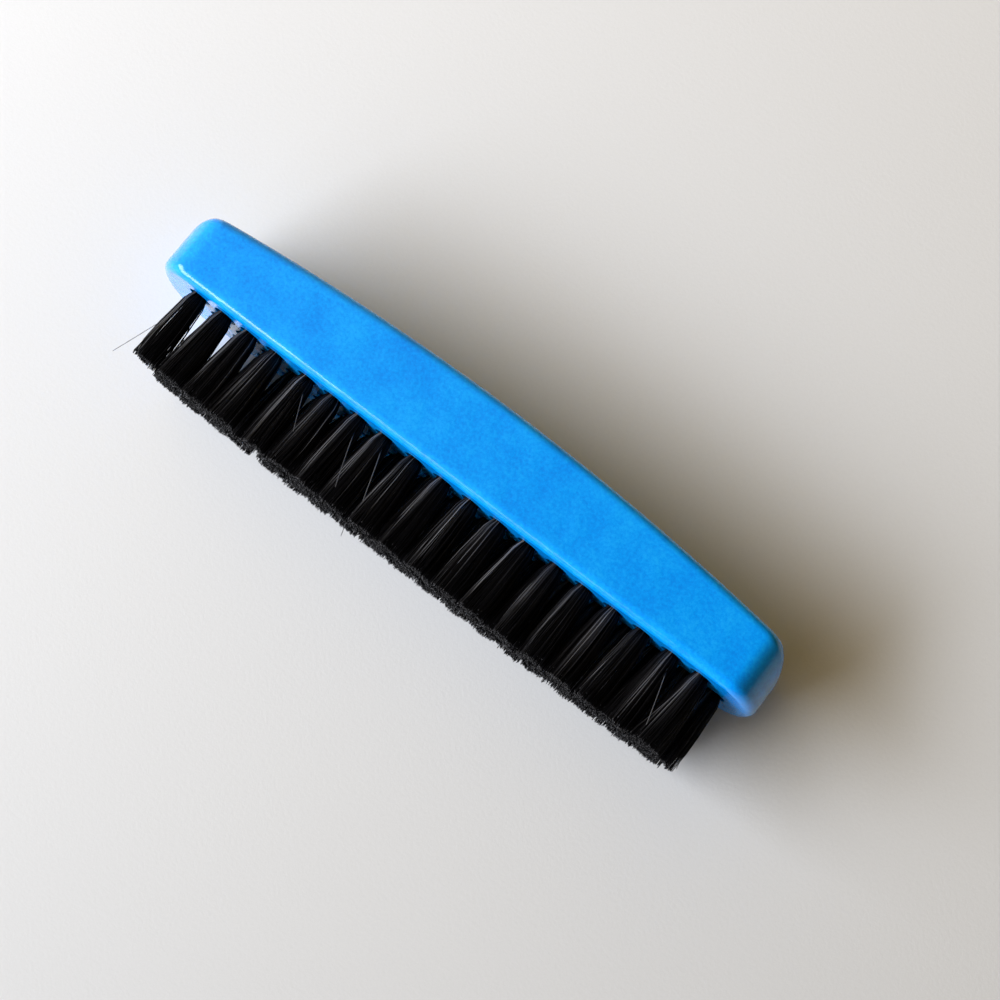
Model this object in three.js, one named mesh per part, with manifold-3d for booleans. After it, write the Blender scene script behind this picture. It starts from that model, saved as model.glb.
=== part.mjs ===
// A palm-sized fade brush for barber work, lying on one of its flat sides.
//
// Millimetres. +X runs along the brush, +Y points out of its bowed back, so the bristles point along
// -Y, and +Z runs across its width. The origin is the middle of the flat side that it rests on.
//
// A lacquered hardwood block carries three staggered rows of bristle tufts. Each tuft is a bundle of
// bristles folded over a flat wire anchor and driven into its own blind hole, where it stays for good,
// so the brush has no moving parts.

import * as THREE from 'three';
import { mergeVertices } from 'three/addons/utils/BufferGeometryUtils.js';
import Module from 'manifold-3d';

const wasm = await Module();
wasm.setup();

// The block
const LENGTH = 127;
const WIDTH = 24; // between the two flat sides
const FACE_Y = -8; // the flat face that the tufts stand on
const CROWN_Y = 8; // the middle of the back
const BACK_RADIUS = 470; // the back is one long shallow arc
const BACK_CORNER = 4.6; // where the back turns down into each end
const NOSE = 6.75; // how far each rounded end reaches past the flat sides
const EDGE_RADIUS = 1.8; // all round the bristle face and the back

// The tufts, in three rows across the width
const ROW_COUNT = 19; // tufts in a row
const ROW_SPACING = 6;
const PITCH = 5.95; // along a row
const ROW_MIDDLE = -0.95; // where the middle tuft of the upper row stands
const MIDDLE_STAGGER = 3.5; // how far the middle row is set along from the upper row
const LOWER_STAGGER = 1.6; // and the lower row
const GROUP_SIZE = 4; // at its -X end each row starts with tufts that stand in close groups
const GROUP_COUNT = 2;
const GROUP_CLOSENESS = 0.35; // how much less than the pitch lies between two tufts of a group
const BRISTLE_LENGTH = 14.9; // from the face to the trimmed tips
const END_TRIM = 0.4; // how much shorter the last tufts of a row are
const ROOT_RADIUS = 1.8; // in the hole
const TIP_RADIUS = 2.5; // after the bundle has opened out
const TIP_BEVEL = 0.5;

// The blind holes that hold the tufts
const HOLE_DEPTH = 8.5;
const FIT_GAP = 0.3; // round each tuft and under its fold
const HOLE_RADIUS = ROOT_RADIUS + FIT_GAP;
const DRILL_POINT = 0.8;

// How finely the round shapes are cut
const NOSE_STEPS = 6;
const SIDE_STEPS = 10;
const EDGE_STEPS = 3;
const ROUND_SEGMENTS = 12;

const HALF_LENGTH = LENGTH / 2;
const HALF_WIDTH = WIDTH / 2;
const FLAT_END = HALF_LENGTH - NOSE;
const LAST_PLACE = (ROW_COUNT - 1) / 2;

const lacquer = new THREE.MeshStandardMaterial({ color: 0x1a8cf0, roughness: 0.2, metalness: 0 });
const bristle = new THREE.MeshStandardMaterial({ color: 0x16120f, roughness: 0.55, metalness: 0 });

// One long side of the block seen from its back, from the tip of one nose to the tip of the other.
// Each point has the outline's normal there, so that the outline can be drawn in.
function sideStations() {
  const stations = [];
  for (let i = 0; i <= NOSE_STEPS; i += 1) {
    const turn = (Math.PI / 2) * (i / NOSE_STEPS);
    const normal = new THREE.Vector2(HALF_WIDTH * Math.cos(turn), NOSE * Math.sin(turn)).normalize();
    stations.push({
      x: FLAT_END + NOSE * Math.cos(turn),
      z: HALF_WIDTH * Math.sin(turn),
      normalX: normal.x,
      normalZ: normal.y,
    });
  }
  const mirrored = stations.map((s) => ({ ...s, x: -s.x, normalX: -s.normalX }));
  const flat = [];
  for (let i = 1; i < SIDE_STEPS; i += 1) {
    const x = FLAT_END - (2 * FLAT_END * i) / SIDE_STEPS;
    flat.push({ x, z: HALF_WIDTH, normalX: 0, normalZ: 1 });
  }
  return [...stations, ...flat, ...mirrored.reverse()].reverse();
}

// Height of the back at a distance x from the middle: the long arc, then a quarter round at each end.
function backHeight(x) {
  const bow = BACK_RADIUS - Math.sqrt(BACK_RADIUS ** 2 - x ** 2);
  const past = THREE.MathUtils.clamp(Math.abs(x) - (HALF_LENGTH - BACK_CORNER), 0, BACK_CORNER);
  const corner = BACK_CORNER - Math.sqrt(BACK_CORNER ** 2 - past ** 2);
  return CROWN_Y - bow - corner;
}

// A closed ring round the block, drawn in by inset, with its height given by heightAt(x).
// The second half of the ring mirrors the first across the middle of the width.
function blockRing(inset, heightAt) {
  const nearSide = sideStations().map((station) => {
    const x = station.x - inset * station.normalX;
    const z = station.z - inset * station.normalZ;
    return new THREE.Vector3(x, heightAt(x), z);
  });
  const farSide = nearSide.slice(1, -1).reverse().map((p) => new THREE.Vector3(p.x, p.y, -p.z));
  return [...nearSide, ...farSide];
}

// The rings from the bristle face up to the back, with a quarter round at both edges.
function blockRings() {
  const rings = [];
  for (let i = 0; i <= EDGE_STEPS; i += 1) {
    const turn = (Math.PI / 2) * (i / EDGE_STEPS);
    const inset = EDGE_RADIUS * (1 - Math.sin(turn));
    const rise = EDGE_RADIUS * (1 - Math.cos(turn));
    rings.push(blockRing(inset, () => FACE_Y + rise));
  }
  for (let i = EDGE_STEPS; i >= 0; i -= 1) {
    const turn = (Math.PI / 2) * (i / EDGE_STEPS);
    const inset = EDGE_RADIUS * (1 - Math.sin(turn));
    const drop = EDGE_RADIUS * (1 - Math.cos(turn));
    rings.push(blockRing(inset, (x) => backHeight(x) - drop));
  }
  return rings;
}

// The triangles that close a ring: rungs run straight across the block, so the back keeps its bow.
function ladder(count, start, flipped) {
  const triangles = [];
  for (let rung = 0; rung < count / 2; rung += 1) {
    const near = start + rung;
    const nearNext = near + 1;
    const farNext = start + count - rung - 1;
    const far = start + ((count - rung) % count);
    if (nearNext !== farNext) triangles.push([near, nearNext, farNext]);
    if (near !== far) triangles.push([near, farNext, far]);
  }
  return triangles.map(([a, b, c]) => (flipped ? [a, c, b] : [a, b, c]));
}

// The block before drilling: a skin through all its rings, closed at the face and at the back.
function blankGeometry() {
  const rings = blockRings();
  const count = rings[0].length;
  const triangles = [];
  for (let ring = 0; ring < rings.length - 1; ring += 1) {
    for (let i = 0; i < count; i += 1) {
      const a = ring * count + i;
      const b = ring * count + ((i + 1) % count);
      triangles.push([a, b, b + count], [a, b + count, a + count]);
    }
  }
  triangles.push(...ladder(count, 0, true), ...ladder(count, (rings.length - 1) * count, false));
  const geometry = new THREE.BufferGeometry().setFromPoints(rings.flat());
  geometry.setIndex(triangles.flat());
  return geometry;
}

// A round solid about the Y axis from [radius, y] corners, listed from its low end to its high end.
function turned(corners) {
  const profile = corners.map(([radius, y]) => new THREE.Vector2(radius, y));
  return new THREE.LatheGeometry(profile, ROUND_SEGMENTS);
}

// The shape of one blind hole, with its mouth opening past the bristle face.
function drillGeometry() {
  const deep = FACE_Y + HOLE_DEPTH;
  return turned([
    [0, FACE_Y - 1],
    [HOLE_RADIUS, FACE_Y - 1],
    [HOLE_RADIUS, deep],
    [0, deep + DRILL_POINT],
  ]);
}

// One tuft: its fold at the bottom of the hole, the root, and the bundle opening out to its tips.
function tuftGeometry(length) {
  const tip = FACE_Y - length;
  const fold = FACE_Y + HOLE_DEPTH - FIT_GAP;
  return turned([
    [0, tip],
    [TIP_RADIUS - TIP_BEVEL, tip],
    [TIP_RADIUS, tip + TIP_BEVEL],
    [ROOT_RADIUS, FACE_Y],
    [ROOT_RADIUS, fold],
    [0, fold],
  ]);
}

// Where a tuft stands along its row, by its number from the -X end.
function alongRow(number) {
  const fromGroupMiddle = (number % GROUP_SIZE) - (GROUP_SIZE - 1) / 2;
  const closer = number < GROUP_SIZE * GROUP_COUNT ? GROUP_CLOSENESS * fromGroupMiddle : 0;
  return ROW_MIDDLE + PITCH * (number - LAST_PLACE) - closer;
}

// Every tuft of the brush, row by row, with the spot that its hole is drilled at.
function tuftPlaces() {
  const rows = [
    { name: 'upper', across: ROW_SPACING, stagger: 0 },
    { name: 'middle', across: 0, stagger: MIDDLE_STAGGER },
    { name: 'lower', across: -ROW_SPACING, stagger: LOWER_STAGGER },
  ];
  return rows.flatMap((row) =>
    Array.from({ length: ROW_COUNT }, (unused, number) => ({
      name: `tuft_${row.name}_${String(number + 1).padStart(2, '0')}`,
      x: alongRow(number) + row.stagger,
      z: row.across,
      length: BRISTLE_LENGTH - END_TRIM * (Math.abs(number - LAST_PLACE) / LAST_PLACE) ** 6,
    })),
  );
}

function toSolid(geometry) {
  const bare = geometry.clone();
  bare.deleteAttribute('normal');
  bare.deleteAttribute('uv');
  const merged = mergeVertices(bare, 1e-4);
  return new wasm.Manifold(
    new wasm.Mesh({
      numProp: 3,
      vertProperties: new Float32Array(merged.attributes.position.array),
      triVerts: new Uint32Array(merged.index.array),
    }),
  );
}

function fromSolid(solid) {
  const mesh = solid.getMesh();
  const geometry = new THREE.BufferGeometry();
  geometry.setAttribute('position', new THREE.BufferAttribute(mesh.vertProperties, 3));
  geometry.setIndex(new THREE.BufferAttribute(mesh.triVerts, 1));
  geometry.computeVertexNormals();
  return geometry;
}

// The lacquered block with one blind hole for each tuft.
function makeBlock(places) {
  let drilled = toSolid(blankGeometry());
  for (const place of places) {
    const drill = drillGeometry().translate(place.x, 0, place.z);
    drilled = drilled.subtract(toSolid(drill));
  }
  const block = new THREE.Mesh(fromSolid(drilled), lacquer);
  block.name = 'handle_block';
  return block;
}

function makeTuft(place) {
  const tuft = new THREE.Mesh(tuftGeometry(place.length), bristle);
  tuft.name = place.name;
  tuft.position.set(place.x, 0, place.z);
  return tuft;
}

const places = tuftPlaces();
const brush = new THREE.Group();
brush.add(makeBlock(places), ...places.map(makeTuft));
brush.position.z = HALF_WIDTH; // the lower flat side rests at z = 0

export default brush;
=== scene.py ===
"""Looks of the fade brush: its lacquered block, its bristle tufts and their wire anchors.

Metres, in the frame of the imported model: +X along the brush, +Y out of its bowed back, so the bristles
point along -Y, and +Z up across its width. The brush lies on one flat side, on the floor at z = 0.
"""

import math

import bmesh
import bpy
import numpy as np
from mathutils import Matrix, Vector, geometry


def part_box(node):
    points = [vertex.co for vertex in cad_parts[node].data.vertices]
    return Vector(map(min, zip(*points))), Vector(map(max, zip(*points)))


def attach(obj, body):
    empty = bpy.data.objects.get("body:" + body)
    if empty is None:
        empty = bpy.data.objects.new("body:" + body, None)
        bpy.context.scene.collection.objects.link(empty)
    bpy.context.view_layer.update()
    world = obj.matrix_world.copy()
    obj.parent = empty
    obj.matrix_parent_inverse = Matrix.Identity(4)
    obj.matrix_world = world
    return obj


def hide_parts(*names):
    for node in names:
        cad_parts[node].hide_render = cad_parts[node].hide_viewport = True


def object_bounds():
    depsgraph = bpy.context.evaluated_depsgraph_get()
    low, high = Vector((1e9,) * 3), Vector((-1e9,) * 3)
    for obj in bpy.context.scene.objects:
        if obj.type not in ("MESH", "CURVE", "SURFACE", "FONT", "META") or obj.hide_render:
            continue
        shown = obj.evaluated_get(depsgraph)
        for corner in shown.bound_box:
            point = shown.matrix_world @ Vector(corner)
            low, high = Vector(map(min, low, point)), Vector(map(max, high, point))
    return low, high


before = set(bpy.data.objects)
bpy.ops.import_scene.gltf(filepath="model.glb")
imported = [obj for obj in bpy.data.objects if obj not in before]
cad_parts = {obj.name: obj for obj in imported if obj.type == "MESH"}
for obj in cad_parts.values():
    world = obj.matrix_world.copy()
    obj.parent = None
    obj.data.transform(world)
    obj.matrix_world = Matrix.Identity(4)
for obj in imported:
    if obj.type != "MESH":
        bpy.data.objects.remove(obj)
CAD_LOW, CAD_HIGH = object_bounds()
BLOCK_LOW, BLOCK_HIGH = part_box("handle_block")
TUFTS = sorted(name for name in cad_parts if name.startswith("tuft_"))

# The block, as the CAD has it
HALF_LENGTH = (BLOCK_HIGH.x - BLOCK_LOW.x) / 2
HALF_WIDTH = (BLOCK_HIGH.z - BLOCK_LOW.z) / 2
FACE_Y = BLOCK_LOW.y
CROWN_Y = BLOCK_HIGH.y
BACK_RADIUS = 0.470
BACK_CORNER = 0.0046
NOSE = 0.00675
EDGE_RADIUS = 0.0018
HOLE_RADIUS = 0.0021
HOLE_GAP = 0.0003
DRILL_POINT = 0.0008

# How finely the block is cut
NOSE_STEPS = 28
SIDE_STEPS = 60
EDGE_STEPS = 10
FLAT_BORDER = 0.0003  # a narrow strip beside each rounded edge, so that the flats shade flat
HOLE_SEGMENTS = 28
MOUTH_BEVEL = 0.00018
MOUTH_STEPS = 3
LACQUERED_DEPTH = 0.001  # how far the lacquer runs into a hole

# The bundles of bristles
BRISTLES = 210  # in a tuft
BRISTLE_RADIUS = 0.000082
BRISTLE_SIDES = 4
RADIUS_SCATTER = 0.13  # as a share of the radius, like the two below
RADIUS_LIMITS = (0.7, 1.35)
TIP_TAPER = 0.8
MOUTH_RADIUS = 0.00192  # of a bundle just outside its hole
PLACE_SCATTER = 0.025
NECK = 0.7  # a bundle's width where it leaves its hole, as a share of its width past the neck
NECK_RISE = 0.12  # where the neck ends, as a share of the way to the tips
NECK_POWER = 0.7
OPEN_RISE = 0.75  # where a bundle stops opening along its row
OPEN_ALONG = 1.43  # its width at the tips along its row, as the same kind of share
OPEN_ACROSS = 1.7  # and across its row
ACROSS_POWER = 1.2
BURIED_STEPS = [-0.93, -0.3]  # shares of the depth to the fold
OUTSIDE_STEPS = [0, 0.05, NECK_RISE, 0.3, 0.5, 0.74, 0.985, 1]  # shares of the way to the tips

# How unevenly the bristles are cut, and how they lean and bow
CLUMPS = 9  # in a tuft, each hanging together
CLUMP_REACH = 0.85
CUT_SCATTER = 0.00013
CLUMP_CUT_SCATTER = 0.00012
SHORT_SHARE = 0.1  # of the bristles
SHORTER_BY = 0.001
LEAN_SCATTER = 0.00016
CLUMP_LEAN_SCATTER = 0.00024
WILD_SHARE = 0.03  # of the bristles
WILD_LEAN = 6.0  # times as far as the others
LEAN_POWER = 1.4
BOW_SCATTER = 0.00008
FIELD_LEAN = -0.0003  # of all tufts, along the brush
INWARD_LEAN = 0.0004  # of the end tufts, towards the middle
SEED = 20

# How light the bristles are, from 0 to 1
BASE_TONES = (0.05, 0.5)
LIGHT_SHARE = 0.05  # of the bristles
LIGHT_TONE = 0.5
# Painted highlight: the rim bristles on each tuft's upper left get a lighter base colour, where the lamp
# light falls on the tufts
PAINTED_HIGHLIGHT_TURNS = (1.8, 2.5)  # where the painted highlight streak lies round a bundle, in radians
PAINTED_HIGHLIGHT_WIDTH = 0.26
PAINTED_HIGHLIGHT_RIM = 0.72
PAINTED_HIGHLIGHT_TONE = 0.9
PAINTED_HIGHLIGHT_TONES = (0.4, 1.0)
FADE_START = 0.7  # where the tones start to darken, as a share of a bristle's steps
TIP_FADE = 0.75
CUT_END_TONES = (0.3, 0.75)
STRAY_TONE = 0.85

# Single hairs that stand out of their tufts: (lean along, lean across, extra length)
STRAYS = {
    "tuft_upper_01": [(-0.0079, -0.0070, 0.0022)],
    "tuft_upper_05": [(0.0052, 0.0055, -0.0055)],
    "tuft_upper_07": [(0.0047, 0.0055, -0.0028)],
    "tuft_upper_08": [(0.0048, 0.0055, -0.0034)],
    "tuft_upper_18": [(0.0042, 0.0055, -0.0026)],
    "tuft_middle_07": [(0.0052, -0.0015, 0.0022)],
    "tuft_middle_19": [(0.0018, 0.0006, -0.0020), (0.0026, -0.0004, -0.0005)],
}

# The wire anchors, one across each tuft's fold
ANCHOR_LENGTH = 0.0040
ANCHOR_HEIGHT = 0.0017
ANCHOR_THICKNESS = 0.00035
ANCHOR_CHAMFER = 0.0005
ANCHOR_ABOVE_FOLD = 0.0012

# The camera
AZIMUTH = 37.7
ELEVATION = 77.9
DISTANCE = 0.3071
LENS = 64.8
CLIP_START = 0.01
AIM_FROM_CENTRE = Vector((0.0077, 0.0038, 0.0))

# The light
WINDOW = {"azimuth": -53, "elevation": 31, "width": 1.05, "height": 0.42, "power": 19.7}
DOORWAY = {"azimuth": -10, "elevation": 26, "width": 0.3, "height": 0.3, "power": 0.8}
LAMP_DISTANCE = 0.95
DAYLIGHT = (0.78, 0.85, 0.98)
ROOM_AZIMUTH = -85  # the room's lightest side
ROOM_LIGHT = [
    (0.0, (0.07, 0.05, 0.02)),
    (0.45, (0.06, 0.042, 0.016)),
    (0.55, (0.19, 0.135, 0.05)),
    (0.7, (0.6, 0.43, 0.16)),
    (1.0, (0.62, 0.44, 0.165)),
]
BACKDROP = (0.72, 0.72, 0.71, 1)

# The floor
FLOOR_REACH = 1.2
FLOOR_PAINTED_SHADE_REACH = 0.12  # how far from the brush the floor's painted shade goes on


# Small helpers for node materials


def new_material(name):
    """A material with only an output and a Principled shader, and its node tree."""
    material = bpy.data.materials.new(name)
    material.use_nodes = True
    tree = material.node_tree
    tree.nodes.clear()
    output = tree.nodes.new("ShaderNodeOutputMaterial")
    shader = tree.nodes.new("ShaderNodeBsdfPrincipled")
    tree.links.new(shader.outputs["BSDF"], output.inputs["Surface"])
    return material, tree, shader


def object_coordinates(tree, scale=(1, 1, 1)):
    """Object coordinates, stretched by scale."""
    coordinates = tree.nodes.new("ShaderNodeTexCoord")
    mapping = tree.nodes.new("ShaderNodeMapping")
    mapping.inputs["Scale"].default_value = scale
    tree.links.new(coordinates.outputs["Object"], mapping.inputs["Vector"])
    return mapping.outputs["Vector"]


def noise(tree, vector, scale, detail=2.0, roughness=0.5):
    """Fractal noise, from 0 to 1."""
    node = tree.nodes.new("ShaderNodeTexNoise")
    node.inputs["Scale"].default_value = scale
    node.inputs["Detail"].default_value = detail
    node.inputs["Roughness"].default_value = roughness
    tree.links.new(vector, node.inputs["Vector"])
    return node.outputs["Fac"]


def ramp(tree, value, stops):
    """A colour ramp over value, from (position, colour) stops."""
    node = tree.nodes.new("ShaderNodeValToRGB")
    elements = node.color_ramp.elements
    while len(elements) < len(stops):
        elements.new(0.5)
    for element, (position, colour) in zip(elements, stops):
        element.position = position
        element.color = (*colour, 1)
    tree.links.new(value, node.inputs["Fac"])
    return node.outputs["Color"]


def spread(tree, value, low, high, from_low=0.0, from_high=1.0):
    """Maps value to low..high from 0..1, or from the range given."""
    node = tree.nodes.new("ShaderNodeMapRange")
    node.inputs["From Min"].default_value = from_low
    node.inputs["From Max"].default_value = from_high
    node.inputs["To Min"].default_value = low
    node.inputs["To Max"].default_value = high
    tree.links.new(value, node.inputs["Value"])
    return node.outputs["Result"]


def mixed(tree, first, second, share):
    """Two values blended, with share of the second."""
    node = tree.nodes.new("ShaderNodeMix")
    node.inputs["Factor"].default_value = share
    tree.links.new(first, node.inputs["A"])
    tree.links.new(second, node.inputs["B"])
    return node.outputs["Result"]


def bump(tree, height, distance, strength=1.0, under=None):
    """A bump from height, over another bump's normal if there is one."""
    node = tree.nodes.new("ShaderNodeBump")
    node.inputs["Strength"].default_value = strength
    node.inputs["Distance"].default_value = distance
    tree.links.new(height, node.inputs["Height"])
    if under is not None:
        tree.links.new(under, node.inputs["Normal"])
    return node.outputs["Normal"]


# Materials


def lacquer_material():
    """Glossy blue lacquer over sanded wood: a fine mottle, slow drifts of colour and orange peel."""
    material, tree, shader = new_material("blue_lacquer")
    where = object_coordinates(tree)
    mottle = noise(tree, where, scale=1700, detail=4, roughness=0.75)
    drift = noise(tree, where, scale=130, detail=3)
    colour = ramp(
        tree,
        mixed(tree, mottle, drift, share=0.35),
        [(0.36, (0.0, 0.25, 0.86)), (0.5, (0.0, 0.33, 0.96)), (0.64, (0.006, 0.41, 1.0))],
    )
    tree.links.new(colour, shader.inputs["Base Color"])
    gloss = noise(tree, where, scale=350, detail=3)
    tree.links.new(spread(tree, gloss, low=0.16, high=0.3), shader.inputs["Roughness"])
    waves = bump(tree, noise(tree, where, scale=260, detail=1), distance=0.00006)
    peel = bump(tree, mottle, distance=0.00002, under=waves)
    tree.links.new(peel, shader.inputs["Normal"])
    shader.inputs["Specular IOR Level"].default_value = 0.1
    shader.inputs["Coat Weight"].default_value = 0.7
    shader.inputs["Coat Roughness"].default_value = 0.06
    tree.links.new(peel, shader.inputs["Coat Normal"])
    return material


def raw_wood_material():
    """The bare hardwood inside the drilled holes, with its grain along the brush."""
    material, tree, shader = new_material("raw_hardwood")
    where = object_coordinates(tree, scale=(60, 900, 900))
    grain = noise(tree, where, scale=1.0, detail=5, roughness=0.65)
    colour = ramp(tree, grain, [(0.3, (0.29, 0.16, 0.075)), (0.7, (0.55, 0.36, 0.2))])
    tree.links.new(colour, shader.inputs["Base Color"])
    tree.links.new(bump(tree, grain, distance=0.00005), shader.inputs["Normal"])
    shader.inputs["Roughness"].default_value = 0.75
    return material


def bristle_material():
    """Black boar bristle: each hair its own tone, with a painted highlight streak on each tuft's lit side,
    and fine scales along it.
    """
    material, tree, shader = new_material("boar_bristle")
    tone_and_painted_highlight = tree.nodes.new("ShaderNodeAttribute")
    tone_and_painted_highlight.attribute_name = "tone_and_painted_highlight"
    # The lightest stops of this ramp mostly colour the painted highlight streak
    colour = ramp(
        tree,
        tone_and_painted_highlight.outputs["Fac"],
        [
            (0.0, (0.0015, 0.0014, 0.0017)),
            (0.4, (0.006, 0.0056, 0.0062)),
            (0.7, (0.034, 0.033, 0.035)),
            (1.0, (0.17, 0.168, 0.175)),
        ],
    )
    tree.links.new(colour, shader.inputs["Base Color"])
    scales = noise(tree, object_coordinates(tree, scale=(1, 0.35, 1)), scale=9000, detail=2)
    tree.links.new(spread(tree, scales, low=0.3, high=0.5), shader.inputs["Roughness"])
    shine = ramp(tree, tone_and_painted_highlight.outputs["Fac"], [(0.2, (0.03,) * 3), (0.6, (0.2,) * 3), (1.0, (0.7,) * 3)])
    tree.links.new(shine, shader.inputs["Specular IOR Level"])
    tree.links.new(bump(tree, scales, distance=0.00001), shader.inputs["Normal"])
    return material


def anchor_material():
    """Drawn steel anchor wire, with draw lines along it."""
    material, tree, shader = new_material("anchor_wire")
    lines = noise(tree, object_coordinates(tree, scale=(400, 9000, 9000)), scale=1.0, detail=3)
    colour = ramp(tree, lines, [(0.3, (0.42, 0.41, 0.39)), (0.7, (0.66, 0.65, 0.62))])
    tree.links.new(colour, shader.inputs["Base Color"])
    tree.links.new(spread(tree, lines, low=0.25, high=0.45), shader.inputs["Roughness"])
    shader.inputs["Metallic"].default_value = 1.0
    return material


def floor_material():
    """A pale sheet with a fine grain, and painted shade that makes it a little darker on the camera's side
    of the brush.
    """
    material, tree, shader = new_material("pale_sheet")
    where = object_coordinates(tree)
    grain = noise(tree, where, scale=1500, detail=3, roughness=0.7)
    # Painted shade: the sheet's colour darkens towards the camera's side, standing in for the lamps'
    # falloff
    nearness = tree.nodes.new("ShaderNodeVectorMath")
    nearness.operation = "DOT_PRODUCT"
    nearness.inputs[1].default_value = direction(AZIMUTH, 0)
    tree.links.new(where, nearness.inputs[0])
    painted_shade = spread(
        tree,
        nearness.outputs["Value"],
        low=0,
        high=1,
        from_low=-FLOOR_PAINTED_SHADE_REACH,
        from_high=FLOOR_PAINTED_SHADE_REACH,
    )
    colour = ramp(
        tree,
        mixed(tree, painted_shade, grain, share=0.15),
        [(0.0, (0.88, 0.87, 0.85)), (1.0, (0.62, 0.615, 0.6))],
    )
    tree.links.new(colour, shader.inputs["Base Color"])
    tree.links.new(bump(tree, grain, distance=0.00006, strength=0.5), shader.inputs["Normal"])
    shader.inputs["Roughness"].default_value = 0.85
    shader.inputs["Specular IOR Level"].default_value = 0.2
    return material


# Meshes


def make_object(name, vertices, faces, materials, smooth=True):
    """A mesh object from its vertices and faces, with every face turned outwards."""
    mesh = bpy.data.meshes.new(name)
    mesh.from_pydata([tuple(v) for v in vertices], [], faces)
    shape = bmesh.new()
    shape.from_mesh(mesh)
    bmesh.ops.recalc_face_normals(shape, faces=shape.faces[:])
    shape.to_mesh(mesh)
    shape.free()
    for material in materials:
        mesh.materials.append(material)
    if smooth:
        mesh.shade_smooth()
    piece = bpy.data.objects.new(name, mesh)
    bpy.context.scene.collection.objects.link(piece)
    return piece


# The block


def side_stations():
    """Half of the block's outline seen from its back, from nose tip to nose tip: (x, z, normal)."""
    flat_end = HALF_LENGTH - NOSE
    nose = []
    for i in range(NOSE_STEPS + 1):
        turn = math.pi / 2 * i / NOSE_STEPS
        normal = Vector((HALF_WIDTH * math.cos(turn), NOSE * math.sin(turn))).normalized()
        nose.append((flat_end + NOSE * math.cos(turn), HALF_WIDTH * math.sin(turn), normal))
    flat = [
        (flat_end - 2 * flat_end * i / SIDE_STEPS, HALF_WIDTH, Vector((0, 1)))
        for i in range(1, SIDE_STEPS)
    ]
    far_nose = [(-x, z, Vector((-normal.x, normal.y))) for x, z, normal in reversed(nose)]
    return list(reversed(nose + flat + far_nose))


def back_height(x):
    """Height of the back at a distance x from the middle: a long arc, then a quarter round at each end."""
    bow = BACK_RADIUS - math.sqrt(BACK_RADIUS**2 - x**2)
    past = min(max(0.0, abs(x) - (HALF_LENGTH - BACK_CORNER)), BACK_CORNER)
    corner = BACK_CORNER - math.sqrt(BACK_CORNER**2 - past**2)
    return CROWN_Y - bow - corner


def block_ring(stations, inset, height_at):
    """A closed ring round the block, drawn in by inset. Its second half mirrors the first."""
    near = []
    for x, z, normal in stations:
        inner_x = x - inset * normal.x
        near.append((inner_x, height_at(inner_x), z - inset * normal.y))
    far = [(x, y, -z) for x, y, z in reversed(near[1:-1])]
    return near + far


def edge_steps():
    """The quarter round of an edge, from the flat to the wall: (inset, distance from the flat)."""
    turns = [math.pi / 2 * i / EDGE_STEPS for i in range(EDGE_STEPS + 1)]
    return [(EDGE_RADIUS * (1 - math.sin(t)), EDGE_RADIUS * (1 - math.cos(t))) for t in turns]


def block_rings():
    """The rings from the bristle face up to the back, with a narrow border beside each edge."""
    stations = side_stations()
    border = EDGE_RADIUS + FLAT_BORDER
    rings = [block_ring(stations, border, lambda x: FACE_Y)]
    for inset, rise in edge_steps():
        rings.append(block_ring(stations, inset, lambda x: FACE_Y + rise))
    rings.append(block_ring(stations, 0, lambda x: FACE_Y + border))
    rings.append(block_ring(stations, 0, lambda x: back_height(x) - border))
    for inset, drop in reversed(edge_steps()):
        rings.append(block_ring(stations, inset, lambda x: back_height(x) - drop))
    rings.append(block_ring(stations, border, back_height))
    return rings


def ladder(count, start):
    """Quads straight across the last ring, so that the back keeps its bow."""
    faces = [(start, start + 1, start + count - 1)]
    for rung in range(1, count // 2 - 1):
        near, far = start + rung, start + count - rung
        faces.append((near, near + 1, far - 1, far))
    middle = start + count // 2
    faces.append((middle - 1, middle, middle + 1))
    return faces


def hole_rings(centre_x, centre_z, depth):
    """The rings of one blind hole from its rounded mouth to the start of its drilled point."""
    mouth = []
    for i in range(MOUTH_STEPS + 1):
        turn = math.pi / 2 * i / MOUTH_STEPS
        radius = HOLE_RADIUS + MOUTH_BEVEL * (1 - math.sin(turn))
        mouth.append((radius, FACE_Y + MOUTH_BEVEL * (1 - math.cos(turn))))
    levels = mouth + [(HOLE_RADIUS, FACE_Y + LACQUERED_DEPTH), (HOLE_RADIUS, FACE_Y + depth)]
    rings = []
    for radius, y in levels:
        turns = [math.tau * i / HOLE_SEGMENTS for i in range(HOLE_SEGMENTS)]
        rings.append([
            (centre_x + radius * math.cos(t), y, centre_z + radius * math.sin(t)) for t in turns
        ])
    return rings


def block_walls():
    """The block's outer skin but for its bristle face: vertices and faces."""
    rings = block_rings()
    count = len(rings[0])
    vertices = [(x, y, z + HALF_WIDTH) for ring in rings for x, y, z in ring]
    faces = []
    for level in range(len(rings) - 1):
        for i in range(count):
            a, b = level * count + i, level * count + (i + 1) % count
            faces.append((a, b, b + count, a + count))
    faces.extend(ladder(count, (len(rings) - 1) * count))
    return vertices, faces, count


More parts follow.
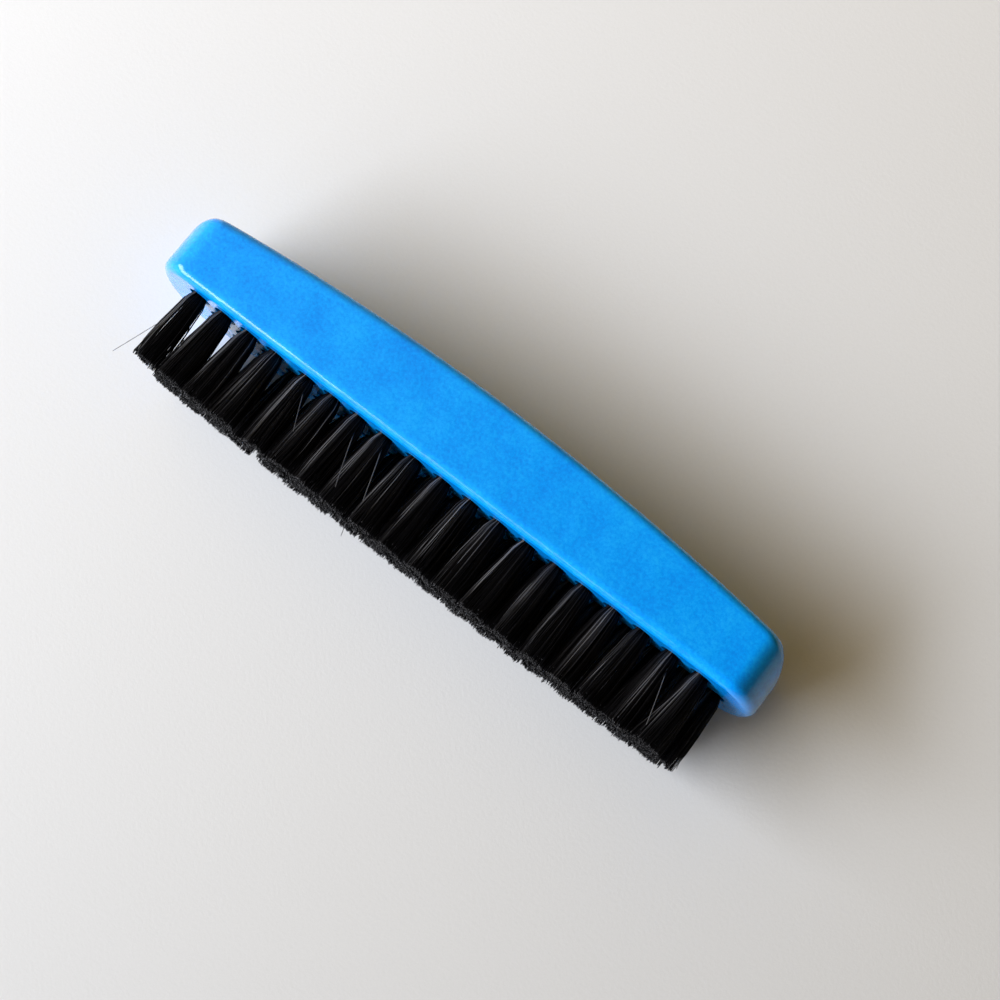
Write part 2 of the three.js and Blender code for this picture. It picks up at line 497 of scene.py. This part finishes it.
def add_hole(name, vertices, faces, wood_faces):
    """Adds one tuft's blind hole. Returns its vertices at the mouth, as a loop of indices."""
    low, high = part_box(name)
    centre_x, centre_z = (low.x + high.x) / 2, (low.z + high.z) / 2
    depth = high.y + HOLE_GAP - FACE_Y
    hole = hole_rings(centre_x, centre_z, depth)
    start = len(vertices)
    for ring in hole:
        vertices.extend(ring)
    for level in range(len(hole) - 1):
        for i in range(HOLE_SEGMENTS):
            a = start + level * HOLE_SEGMENTS + i
            b = start + level * HOLE_SEGMENTS + (i + 1) % HOLE_SEGMENTS
            if level == len(hole) - 2:
                wood_faces.append(len(faces))
            faces.append((a, b, b + HOLE_SEGMENTS, a + HOLE_SEGMENTS))
    bottom = start + (len(hole) - 1) * HOLE_SEGMENTS
    point = len(vertices)
    vertices.append((centre_x, FACE_Y + depth + DRILL_POINT, centre_z))
    for i in range(HOLE_SEGMENTS):
        wood_faces.append(len(faces))
        faces.append((bottom + i, bottom + (i + 1) % HOLE_SEGMENTS, point))
    return list(range(start, start + HOLE_SEGMENTS))


def make_block():
    """The lacquered block with its blind holes. Its holes are bare wood below their mouths."""
    vertices, faces, outline_count = block_walls()
    wood_faces = []
    loops = [list(range(outline_count))]
    for name in TUFTS:
        loops.append(add_hole(name, vertices, faces, wood_faces))
    curved_faces = len(faces)
    flat_loops = [[Vector((vertices[i][0], vertices[i][2], 0)) for i in loop] for loop in loops]
    corners = [i for loop in loops for i in loop]
    for triangle in geometry.tessellate_polygon(flat_loops):
        faces.append(tuple(corners[i] for i in triangle))

    block = make_object("lacquered_block", vertices, faces, [lacquer_material(), raw_wood_material()])
    for i in wood_faces:
        block.data.polygons[i].material_index = 1
    for flat in block.data.polygons[curved_faces:]:
        flat.use_smooth = False
    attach(block, "root")
    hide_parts("handle_block")


# The tufts


def bundle_places(random):
    """Where the bristles of one bundle pass through the mouth of its hole, in a disc of radius 1."""
    order = np.arange(BRISTLES)
    golden = math.pi * (3 - math.sqrt(5))
    radius = np.sqrt((order + 0.5) / BRISTLES)
    turn = order * golden + random.uniform(0, math.tau)
    places = np.stack([radius * np.cos(turn), radius * np.sin(turn)], axis=1)
    return places + random.normal(0, PLACE_SCATTER, places.shape)


def clumps_of(places, random):
    """Which clump each bristle hangs together with: the nearest of a few places in the bundle."""
    centres = random.uniform(-CLUMP_REACH, CLUMP_REACH, (CLUMPS, 2))
    return np.linalg.norm(places[:, None, :] - centres[None, :, :], axis=2).argmin(axis=1)


def bundle_opening(rise):
    """How wide a bundle is along and across its row: a narrow neck that opens out towards the tips."""
    neck = NECK + (1 - NECK) * np.clip(rise / NECK_RISE, 0, 1) ** NECK_POWER
    opened = np.clip(rise / OPEN_RISE, 0, 1)
    along = neck + (OPEN_ALONG - 1) * opened**2 * (3 - 2 * opened)
    across = neck + (OPEN_ACROSS - 1) * rise**ACROSS_POWER
    return np.stack([along, across], axis=1)


def bristle_lines(name, places, random):
    """The centre lines of a tuft's bristles: an array of bristle, step and x, y, z."""
    low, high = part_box(name)
    length = FACE_Y - low.y
    fold = high.y - FACE_Y
    clumps = clumps_of(places, random)
    heights = np.concatenate([fold * np.array(BURIED_STEPS), length * np.array(OUTSIDE_STEPS)])
    rise = np.clip(heights, 0, None) / length
    cut = random.normal(0, CUT_SCATTER, BRISTLES)
    cut += random.normal(0, CLUMP_CUT_SCATTER, CLUMPS)[clumps]
    cut -= np.where(random.random(BRISTLES) < SHORT_SHARE, SHORTER_BY, 0)
    spread_out = places[:, None, :] * MOUTH_RADIUS * bundle_opening(rise)[None, :, :]
    wild = np.where(random.random(BRISTLES) < WILD_SHARE, WILD_LEAN, 1.0)
    lean = random.normal(0, LEAN_SCATTER, (BRISTLES, 2)) * wild[:, None]
    lean += random.normal(0, CLUMP_LEAN_SCATTER, (CLUMPS, 2))[clumps]
    lean[:, 0] += FIELD_LEAN - INWARD_LEAN * (low.x + high.x) / 2 / HALF_LENGTH
    bow = random.normal(0, BOW_SCATTER, (BRISTLES, 2))
    wander = lean[:, None, :] * (rise**LEAN_POWER)[None, :, None]
    wander = wander + bow[:, None, :] * np.sin(math.pi * rise)[None, :, None]
    lines = np.empty((BRISTLES, len(heights), 3))
    lines[:, :, 0] = (low.x + high.x) / 2 + spread_out[:, :, 0] + wander[:, :, 0]
    lines[:, :, 1] = FACE_Y - heights[None, :] * (1 + (cut / length)[:, None] * (rise > 0)[None, :])
    lines[:, :, 2] = (low.z + high.z) / 2 + spread_out[:, :, 1] + wander[:, :, 1]
    for bristle_number, (along, across, longer) in enumerate(STRAYS.get(name, [])):
        lines[bristle_number, :, 0] += along * rise
        lines[bristle_number, :, 1] -= longer * rise
        lines[bristle_number, :, 2] += across * rise
    return lines


def tube_mesh(lines, radii):
    """Closed tubes along lines that run roughly along Y. Returns vertices and faces."""
    strands, steps = lines.shape[:2]
    turns = math.tau * np.arange(BRISTLE_SIDES) / BRISTLE_SIDES
    ring = np.stack([np.cos(turns), np.zeros(BRISTLE_SIDES), np.sin(turns)], axis=1)
    vertices = lines[:, :, None, :] + ring[None, None, :, :] * radii[:, :, None, None]
    faces = []
    for strand in range(strands):
        base = strand * steps * BRISTLE_SIDES
        for step in range(steps - 1):
            for side in range(BRISTLE_SIDES):
                a = base + step * BRISTLE_SIDES + side
                b = base + step * BRISTLE_SIDES + (side + 1) % BRISTLE_SIDES
                faces.append((a, b, b + BRISTLE_SIDES, a + BRISTLE_SIDES))
        last = base + (steps - 1) * BRISTLE_SIDES
        faces.append(tuple(base + side for side in reversed(range(BRISTLE_SIDES))))
        faces.append(tuple(last + side for side in range(BRISTLE_SIDES)))
    return vertices.reshape(-1, 3), faces


def bristle_tones_and_painted_highlight(random, places, steps):
    """How light each bristle is at each step: random tones, a painted highlight streak down the tuft's
    upper left, light cut ends.
    """
    tone_and_painted_highlight = random.uniform(*BASE_TONES, BRISTLES)
    tone_and_painted_highlight += np.where(random.random(BRISTLES) < LIGHT_SHARE, LIGHT_TONE, 0)
    # Painted highlight: rim bristles on the tuft's lit side are made lighter
    around = np.arctan2(places[:, 1], places[:, 0]) - random.uniform(*PAINTED_HIGHLIGHT_TURNS)
    painted_highlight_rim = np.linalg.norm(places, axis=1) > PAINTED_HIGHLIGHT_RIM
    painted_highlight = painted_highlight_rim * np.exp(-((around / PAINTED_HIGHLIGHT_WIDTH) ** 2))
    tone_and_painted_highlight += PAINTED_HIGHLIGHT_TONE * painted_highlight * random.uniform(*PAINTED_HIGHLIGHT_TONES, BRISTLES)
    along = np.linspace(0, 1, steps)
    fading = 1 - TIP_FADE * np.clip((along - FADE_START) / (1 - FADE_START), 0, 1)
    tones_and_painted_highlight = tone_and_painted_highlight[:, None] * fading[None, :]
    tones_and_painted_highlight[:, -1] += random.uniform(*CUT_END_TONES, BRISTLES)
    return np.clip(tones_and_painted_highlight, 0, 1)


def make_tuft(name, index, material):
    """One tuft of tapered bristles, standing for its CAD solid."""
    random = np.random.default_rng(SEED + index)
    places = bundle_places(random)
    lines = bristle_lines(name, places, random)
    size = random.normal(1, RADIUS_SCATTER, len(lines)).clip(*RADIUS_LIMITS)
    taper = np.linspace(1.0, TIP_TAPER, lines.shape[1])
    radii = BRISTLE_RADIUS * size[:, None] * taper[None, :]
    vertices, faces = tube_mesh(lines, radii)
    tuft = make_object("bristles_" + name.removeprefix("tuft_"), vertices, faces, [material])
    tones_and_painted_highlight = bristle_tones_and_painted_highlight(random, places, lines.shape[1])
    tones_and_painted_highlight[: len(STRAYS.get(name, []))] = STRAY_TONE
    tones_and_painted_highlight = np.repeat(tones_and_painted_highlight.ravel(), BRISTLE_SIDES)
    # This attribute holds each bristle's tone together with the painted highlight
    attribute = tuft.data.attributes.new("tone_and_painted_highlight", "FLOAT", "POINT")
    attribute.data.foreach_set("value", tones_and_painted_highlight.astype(np.float32))
    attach(tuft, "root")
    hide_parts(name)


def make_anchors():
    """The flat wire anchors: a small chamfered plate across the fold of every tuft."""
    half_length, half_height, half_thickness = ANCHOR_LENGTH / 2, ANCHOR_HEIGHT / 2, ANCHOR_THICKNESS / 2
    outline = [
        (-half_length, -half_height),
        (half_length, -half_height),
        (half_length, half_height - ANCHOR_CHAMFER),
        (half_length - ANCHOR_CHAMFER, half_height),
        (ANCHOR_CHAMFER - half_length, half_height),
        (-half_length, half_height - ANCHOR_CHAMFER),
    ]
    corners = len(outline)
    vertices, faces = [], []
    for name in TUFTS:
        low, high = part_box(name)
        centre = (low + high) / 2
        height = high.y - ANCHOR_ABOVE_FOLD - half_height
        start = len(vertices)
        for side in (-half_thickness, half_thickness):
            vertices.extend((centre.x + x, height + y, centre.z + side) for x, y in outline)
        near, far = range(start, start + corners), range(start + corners, start + 2 * corners)
        faces.append(tuple(near))
        faces.append(tuple(far))
        for i in range(corners):
            following = (i + 1) % corners
            faces.append((near[i], near[following], far[following], far[i]))
    anchors = make_object("tuft_anchors", vertices, faces, [anchor_material()], smooth=False)
    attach(anchors, "root")


# The stage


def make_floor():
    """The flat sheet that the brush lies on."""
    reach = FLOOR_REACH
    corners = [(-reach, -reach, 0), (reach, -reach, 0), (reach, reach, 0), (-reach, reach, 0)]
    floor = make_object("floor", corners, [(0, 1, 2, 3)], [floor_material()], smooth=False)


def direction(azimuth, elevation):
    """The unit vector from the brush towards a place, with azimuth 0 on the -Y side."""
    a, e = math.radians(azimuth), math.radians(elevation)
    return Vector((math.sin(a) * math.cos(e), -math.cos(a) * math.cos(e), math.sin(e)))


def make_camera():
    """The camera, level, looking down at the brush."""
    back = direction(AZIMUTH, ELEVATION)
    data = bpy.data.cameras.new("camera")
    data.lens = LENS
    data.clip_start = CLIP_START
    camera = bpy.data.objects.new("camera", data)
    camera.location = (CAD_LOW + CAD_HIGH) / 2 + AIM_FROM_CENTRE + back * DISTANCE
    camera.rotation_euler = (-back).to_track_quat("-Z", "Y").to_euler()
    bpy.context.scene.collection.objects.link(camera)
    bpy.context.scene.camera = camera


def area_light(name, azimuth, elevation, width, height, power):
    """A soft cool lamp aimed at the brush."""
    back = direction(azimuth, elevation)
    data = bpy.data.lights.new(name, "AREA")
    data.shape = "RECTANGLE"
    data.size = width
    data.size_y = height
    data.energy = power
    data.color = DAYLIGHT
    lamp = bpy.data.objects.new(name, data)
    lamp.location = (CAD_LOW + CAD_HIGH) / 2 + back * LAMP_DISTANCE
    lamp.rotation_euler = (-back).to_track_quat("-Z", "Y").to_euler()
    bpy.context.scene.collection.objects.link(lamp)


def make_world():
    """A dim warm room, lightest on the window's side. The camera sees it as a pale backdrop."""
    world = bpy.data.worlds.new("room")
    bpy.context.scene.world = world
    world.use_nodes = True
    tree = world.node_tree
    tree.nodes.clear()
    output = tree.nodes.new("ShaderNodeOutputWorld")
    coordinates = tree.nodes.new("ShaderNodeTexCoord")
    towards = tree.nodes.new("ShaderNodeVectorMath")
    towards.operation = "DOT_PRODUCT"
    towards.inputs[1].default_value = direction(ROOM_AZIMUTH, 0)
    tree.links.new(coordinates.outputs["Generated"], towards.inputs[0])
    shade = ramp(
        tree,
        spread(tree, towards.outputs["Value"], low=0, high=1, from_low=-1.0),
        ROOM_LIGHT,
    )
    room = tree.nodes.new("ShaderNodeBackground")
    tree.links.new(shade, room.inputs["Color"])
    backdrop = tree.nodes.new("ShaderNodeBackground")
    backdrop.inputs["Color"].default_value = BACKDROP
    path = tree.nodes.new("ShaderNodeLightPath")
    mix = tree.nodes.new("ShaderNodeMixShader")
    tree.links.new(path.outputs["Is Camera Ray"], mix.inputs["Fac"])
    tree.links.new(room.outputs["Background"], mix.inputs[1])
    tree.links.new(backdrop.outputs["Background"], mix.inputs[2])
    tree.links.new(mix.outputs["Shader"], output.inputs["Surface"])


make_block()

bristle = bristle_material()
for index, name in enumerate(TUFTS):
    make_tuft(name, index, bristle)

make_anchors()
make_floor()
make_world()
area_light("window", **WINDOW)
area_light("doorway", **DOORWAY)
make_camera()
bpy.context.scene.view_settings.view_transform = "Standard"
